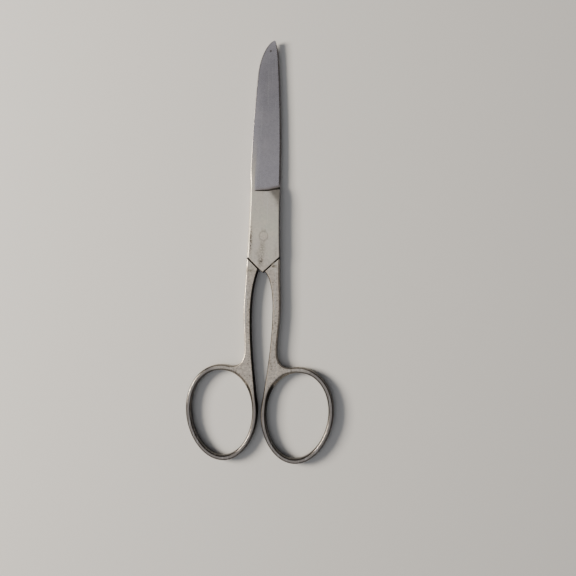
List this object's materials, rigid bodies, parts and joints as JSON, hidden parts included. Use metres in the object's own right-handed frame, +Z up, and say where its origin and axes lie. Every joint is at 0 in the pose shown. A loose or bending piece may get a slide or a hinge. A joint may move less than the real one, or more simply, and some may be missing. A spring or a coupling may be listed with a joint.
{
  "type": "office scissors",
  "caption": "Right-handed all-metal office scissors with oval finger loops, a broad blunt upper blade and a slender lower blade on a flush pivot screw.",
  "frame": {"origin": "middle of the bounding box in X and Y, on the surface the closed scissors lie on", "axes": "+Y from the finger loops to the blade tips, +Z up out of the joint plate that shows from above, +X towards the upper half's finger loop"},
  "size_m": [0.0638, 0.18, 0.0046],
  "materials": {
    "forged_steel": "ground and nickel-plated, lightly worn",
    "screw_steel": "ground flush"
  },
  "bodies": {
    "lower_half": {"lower_half": "forged_steel"},
    "upper_half": {"upper_half": "forged_steel", "pivot_screw": "screw_steel"}
  },
  "joints": [
    {"name": "blade_pivot", "type": "hinge", "parent": "lower_half", "child": "upper_half", "pos_m": [0, 0.0066, 0.0023], "axis": [0, 0, 1], "range_deg": [0, 105]}
  ]
}
